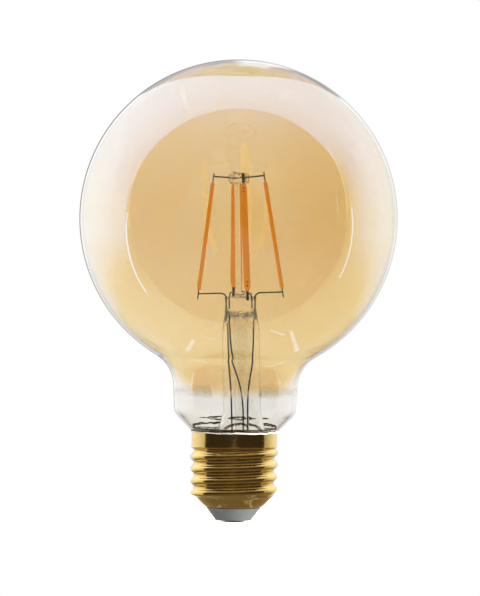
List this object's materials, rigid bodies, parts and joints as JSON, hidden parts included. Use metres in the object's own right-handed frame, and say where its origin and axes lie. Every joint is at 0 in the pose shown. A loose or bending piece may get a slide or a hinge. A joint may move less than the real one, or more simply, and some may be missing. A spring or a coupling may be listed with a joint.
{
  "type": "globe bulb",
  "caption": "Amber-tinted 95 mm globe filament bulb, 138 mm tall, with four standing LED filaments and an E27 screw cap.",
  "frame": {"origin": "middle of the flat underside of the centre contact", "axes": "+Z along the bulb's axis from the contact to the top of the globe, -Y towards the camera side with the side solder"},
  "size_m": [0.095, 0.095, 0.138],
  "materials": {
    "tinted_glass": "clear blown glass with a vapour-coated amber tint",
    "stem_glass": "clear drawn and pressed lead-free glass",
    "phosphor": "silicone filled with orange phosphor",
    "nickel_wire": "drawn nickel wire and strip",
    "copper_lead": "drawn lead wire, dulled by the seal's heat",
    "cap_brass": "polished and lacquered rolled sheet",
    "basing_cement": "fired basing cement",
    "solder": "tin solder, wiped",
    "grey_insulator": "moulded, light sheen",
    "contact_metal": "tinned brass rivet",
    "board_laminate": "glass-filled laminate",
    "can_aluminium": "drawn can",
    "component_case": "moulded epoxy"
  },
  "bodies": {
    "root": {"glass_globe": "tinted_glass", "stem_tube": "stem_glass", "exhaust_tube": "stem_glass", "centre_post": "stem_glass", "post_bead": "stem_glass", "filament_right": "phosphor", "filament_back": "phosphor", "filament_left": "phosphor", "filament_front": "phosphor", "filament_right_tabs": "nickel_wire", "filament_back_tabs": "nickel_wire", "filament_left_tabs": "nickel_wire", "filament_front_tabs": "nickel_wire", "lower_wire_right": "nickel_wire", "lower_wire_back": "nickel_wire", "lower_wire_left": "nickel_wire", "lower_wire_front": "nickel_wire", "top_wire_right": "nickel_wire", "top_wire_back": "nickel_wire", "top_wire_left": "nickel_wire", "top_wire_front": "nickel_wire", "stem_lead_left": "copper_lead", "stem_lead_middle": "copper_lead", "stem_lead_right": "copper_lead", "cap_shell": "cap_brass", "cap_cement": "basing_cement", "side_solder": "solder", "shell_wire": "copper_lead", "insulator": "grey_insulator", "centre_contact": "contact_metal", "contact_wire": "copper_lead", "driver_board": "board_laminate", "smoothing_capacitor": "can_aluminium", "bridge_rectifier": "component_case", "driver_chip": "component_case", "fusible_resistor": "component_case"}
  },
  "joints": []
}
